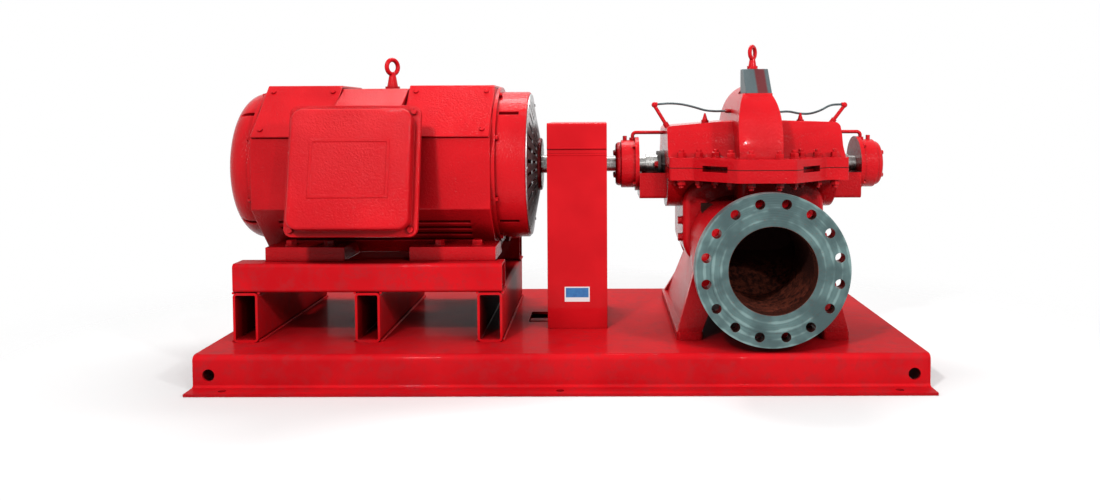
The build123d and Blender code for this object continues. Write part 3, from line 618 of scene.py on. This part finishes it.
# Width of the rounding on each casting and plate, millimetres. The lower casing keeps its plain edges.
ROUNDED_EDGES = {
    "motor_frame": 3.0, "motor_end_shield_left": 2.5, "motor_end_shield_right": 2.0,
    "motor_bearing_cap": 1.5, "motor_hood_left": 3.0, "motor_hood_right": 3.0,
    "motor_foot_left": 3.5, "motor_foot_right": 3.5, "terminal_box": 3.0,
    "terminal_box_cover": 2.0, "guard_body": 1.2, "guard_hood": 1.2, "pump_upper_casing": 3.5,
    "pump_foot_left": 3.0, "pump_foot_right": 3.0, "suction_flange": 1.6,
    "discharge_flange": 1.6, "bearing_housing_left": 1.8, "bearing_housing_right": 1.8,
    "bearing_cap_left": 1.2, "bearing_cap_right": 1.2, "packing_gland_left": 1.2,
    "packing_gland_right": 1.2, "vent_block": 1.6, "base_end_plates": 1.0,
    "base_cross_members": 1.0}

for node, width in ROUNDED_EDGES.items():
    dressed(node, width)


def parting_studs():
    """Studs and nuts round the pump's parting flange."""
    nut = stud_nut(24.0, 14.0, 16.0, 9.0)
    upper, lower = bmesh.new(), bmesh.new()
    for out_x, out_y in PARTING_SPOTS:
        for side_x in BOTH_SIDES:
            for side_y in BOTH_SIDES:
                turn = out_x * 0.37 + side_y
                x, y = PUMP_X + side_x * out_x, side_y * out_y
                stamp(upper, nut, (x, y, SHAFT_Z + UPPER_FLANGE), (0, 0, 1), turn)
                stamp(lower, nut, (x, y, SHAFT_Z - LOWER_FLANGE), (0, 0, -1), turn)
    for side in BOTH_SIDES:
        for y in PARTING_END_Y:
            place = (PUMP_X + side * PARTING_END_X, y, SHAFT_Z - LOWER_FLANGE)
            stamp(lower, nut, place, (0, 0, -1), 0.3)
    finish_piece("parting_studs_upper", upper, "painted_pump", STILL)
    finish_piece("parting_studs_lower", lower, "painted_pump", STILL)


def motor_foot_bolts():
    bolt = hex_bolt(30.0, 13.0)
    shape = bmesh.new()
    for x in FOOT_BOLT_X:
        for side in BOTH_SIDES:
            stamp(shape, bolt, (x, side * FOOT_BOLT_Y, STAND_TOP + MOTOR_FOOT), (0, 0, 1), x)
    finish_piece("motor_foot_bolts", shape, "painted_motor", STILL)


def end_shield_bolts():
    shield_bolt = hex_bolt(13.0, 6.0)
    cap_bolt = hex_bolt(9.0, 4.0)
    shape = bmesh.new()
    for turn, across, up in around(8, 22.5):
        y, z = SHIELD_BOLT_CIRCLE * across, SHAFT_Z + SHIELD_BOLT_CIRCLE * up
        stamp(shape, shield_bolt, (SHIELD_LEFT_X, y, z), (-1, 0, 0), turn)
        stamp(shape, shield_bolt, (SHIELD_RIGHT_X, y, z), (1, 0, 0), turn)
    for turn, across, up in around(4, 45.0):
        y, z = CAP_BOLT_CIRCLE * across, SHAFT_Z + CAP_BOLT_CIRCLE * up
        stamp(shape, cap_bolt, (CAP_FACE_X, y, z), (1, 0, 0), turn)
    finish_piece("end_shield_bolts", shape, "painted_motor", STILL)


def hood_screws():
    button = socket_screw(8.0, 5.0)
    shape = bmesh.new()
    slope = math.sqrt(0.5)
    for start, stop in HOODS:
        for x in (start + HOOD_SCREW_INSET, stop - HOOD_SCREW_INSET):
            for side in BOTH_SIDES:
                for slide in (-HOOD_SCREW_SLIDE, HOOD_SCREW_SLIDE):
                    y = side * (HOOD_FACET + slide) * slope
                    z = FRAME_Z + (HOOD_FACET - slide) * slope
                    stamp(shape, button, (x, y, z), (0, side, 1), x)
    finish_piece("hood_screws", shape, "painted_motor", STILL)


def cover_screws():
    screw = socket_screw(9.0, 9.0)
    shape = bmesh.new()
    lean = math.radians(COVER_LEAN)
    up = Vector((0, math.sin(lean), math.cos(lean)))
    outward = Vector((0, -math.cos(lean), math.sin(lean)))
    middle = Vector(COVER_MIDDLE) + outward * COVER_RISE
    for side in BOTH_SIDES:
        for level in BOTH_SIDES:
            place = middle + Vector((side * COVER_SCREW, 0, 0)) + up * (level * COVER_SCREW)
            stamp(shape, screw, place, outward, 0.4 * side)
    finish_piece("cover_screws", shape, "painted_motor", STILL)


def grille_screws():
    screw = socket_screw(5.0, 3.0)
    shape = bmesh.new()
    for turn, across, up in around(6, 30.0):
        y, z = GRILLE_SCREW_CIRCLE * across, SHAFT_Z + GRILLE_SCREW_CIRCLE * up
        stamp(shape, screw, (GRILLE_FACE_X, y, z), (1, 0, 0), turn)
    finish_piece("grille_screws", shape, "grille_metal", STILL)


def bearing_bolts():
    flange_bolt = hex_bolt(9.0, 6.0)
    cap_bolt = hex_bolt(13.0, 4.8)
    shape = bmesh.new()
    for side in BOTH_SIDES:
        for turn, across, up in around(4, 45.0):
            for bolt, x, circle in ((flange_bolt, HOUSING_FLANGE_X, HOUSING_BOLT_CIRCLE),
                                    (cap_bolt, BEARING_FACE_X, BEARING_BOLT_CIRCLE)):
                place = (PUMP_X + side * x, circle * across, SHAFT_Z + circle * up)
                stamp(shape, bolt, place, (side, 0, 0), turn)
    finish_piece("bearing_bolts", shape, "painted_pump", STILL)


def gland_nuts():
    nut = stud_nut(18.0, 9.0, 10.0, 4.0)
    for side, name, slot in ((-1, "gland_nuts_left", "painted_pump"),
                             (1, "gland_nuts_right", "gland_iron")):
        shape = bmesh.new()
        for y in (-GLAND_STUD_Y, GLAND_STUD_Y):
            stamp(shape, nut, (PUMP_X + side * GLAND_X, y, SHAFT_Z), (side, 0, 0), 0.2)
        finish_piece(name, shape, slot, STILL)


def pump_foot_bolts():
    bolt = hex_bolt(24.0, 11.0)
    shape = bmesh.new()
    for side in BOTH_SIDES:
        for y in PUMP_FOOT_Y:
            stamp(shape, bolt, (PUMP_X + side * PUMP_FOOT_X, y, PUMP_FOOT_TOP), (0, 0, 1), y)
    finish_piece("pump_foot_bolts", shape, "painted_pump", STILL)


def drain_plugs():
    plug = hex_bolt(22.0, 12.0)
    shape = bmesh.new()
    for y, z in PLUG_SPOTS:
        for side in BOTH_SIDES:
            stamp(shape, plug, (PUMP_X + side * PLUG_X, y, z), (side, 0, 0), 0.3)
    finish_piece("casing_drain_plugs", shape, "painted_pump", STILL)


def coupling_bolts():
    bolt = hex_bolt(17.0, 8.0)
    shape = bmesh.new()
    for turn, across, up in around(6, 0.0):
        y, z = COUPLING_BOLT_CIRCLE * across, SHAFT_Z + COUPLING_BOLT_CIRCLE * up
        for side in BOTH_SIDES:
            stamp(shape, bolt, (COUPLING_X + side * COUPLING_HALF, y, z), (side, 0, 0), turn)
    finish_piece("coupling_bolts", shape, "coupling_iron", TURNING)


def stand_welds():
    """Beads along each tube on the deck, and short ones under the two rails."""
    shape = bmesh.new()
    long_bead = weld_bead(2 * WELD_HALF, 5.0)
    short_bead = weld_bead(WELD_HALF - RAIL_INNER, 4.0)
    for tube_x in TUBES_X:
        for side in BOTH_SIDES:
            x = tube_x + side * TUBE_HALF
            stamp(shape, long_bead, (x, -WELD_HALF, DECK_TOP + 1.0), (0, 1, 0))
            for y in (-WELD_HALF, RAIL_INNER):
                stamp(shape, short_bead, (x, y, RAIL_FOOT), (0, 1, 0))
    finish_piece("stand_welds", shape, "painted_base", STILL)


def guard_beads():
    """Rolled edges of the groove round the guard."""
    bead = stack("guard_bead", (3.5, 0, GUARD_LENGTH, 16, 1.0))
    shape = bmesh.new()
    for side in BOTH_SIDES:
        for level in GUARD_GROOVE:
            stamp(shape, bead, (GUARD_X, side * GUARD_BEAD_Y, level), (1, 0, 0))
    finish_piece("guard_beads", shape, "painted_guard", STILL)


def guard_label():
    shape = bmesh.new()
    width, height = LABEL_SIZE
    upright = Matrix.Translation(LABEL_PLACE) @ Matrix.Rotation(math.pi / 2, 4, "X")
    bmesh.ops.create_grid(shape, x_segments=2, y_segments=2, size=0.5,
                          matrix=upright @ Matrix.Diagonal((width, height, 1, 1)))
    bmesh.ops.solidify(shape, geom=shape.faces[:], thickness=LABEL_THICKNESS)
    finish_piece("guard_label", shape, "painted_guard", STILL, LABEL)


parting_studs()
motor_foot_bolts()
end_shield_bolts()
hood_screws()
cover_screws()
grille_screws()
bearing_bolts()
gland_nuts()
pump_foot_bolts()
drain_plugs()
coupling_bolts()
stand_welds()
guard_beads()
guard_label()


# Floor, light and camera
def floor():
    """A white floor that fades away from the base and keeps its shadow."""
    ground = bmesh.new()
    bmesh.ops.create_grid(ground, x_segments=1, y_segments=1, size=6.0,
                          matrix=Matrix.Translation((0, 0, -0.001)))
    mesh = mesh_of("studio_floor", ground)
    plane = bpy.data.objects.new("studio_floor", mesh)
    bpy.context.scene.collection.objects.link(plane)
    pale = new_finish("studio_floor")
    x, y, _ = pale.axes(pale.place())
    away = pale.math("SQRT", x * x * 0.55 + y * y)
    shown = 1.0 - pale.ease(away, *FLOOR_FADE)
    tone = pale.blend(pale.background(), FLOOR_SHADE, FLOOR_WHITE)
    mesh.materials.append(pale.done(Base_Color=tone, Roughness=0.9, Specular_IOR_Level=0.1,
                                    Alpha=shown))


def sky():
    """White to the eye and to gloss, dimmer as a light."""
    world = bpy.data.worlds.new("studio")
    bpy.context.scene.world = world
    air = Finish(world)
    strength = SKY_LIGHT + (1.0 - SKY_LIGHT) * air.background()
    glow = air.node("ShaderNodeBackground", inputs={"Color": WHITE, "Strength": strength})
    air.end(glow, "ShaderNodeOutputWorld")


def softbox(name, place, target, width, height, power):
    light = bpy.data.lights.new(name, "AREA")
    light.shape = "RECTANGLE"
    light.size = width
    light.size_y = height
    light.energy = power
    lamp = bpy.data.objects.new(name, light)
    lamp.location = place
    aim = Vector(target) - Vector(place)
    lamp.rotation_euler = aim.to_track_quat("-Z", "Y").to_euler()
    bpy.context.scene.collection.objects.link(lamp)


def camera():
    data = bpy.data.cameras.new("camera")
    data.sensor_width = SENSOR
    data.sensor_fit = "HORIZONTAL"
    data.lens = FOCAL_PIXELS / IMAGE_WIDTH * SENSOR
    data.shift_x = (IMAGE_WIDTH / 2 - AXIS_X_PIXEL) / IMAGE_WIDTH
    data.shift_y = (AXIS_Y_PIXEL - IMAGE_HEIGHT / 2) / IMAGE_WIDTH
    turn = Matrix.Rotation(CAMERA_YAW, 4, "Z") @ Matrix.Rotation(CAMERA_PITCH, 4, "X")
    turn = turn @ Matrix.Rotation(CAMERA_ROLL, 4, "Y") @ Matrix.Rotation(math.pi / 2, 4, "X")
    eye = bpy.data.objects.new("camera", data)
    eye.matrix_world = Matrix.Translation(CAMERA_PLACE) @ turn
    bpy.context.scene.collection.objects.link(eye)
    bpy.context.scene.camera = eye


floor()
sky()
for lamp in LAMPS:
    softbox(*lamp)
camera()
bpy.context.scene.view_settings.view_transform = "Standard"
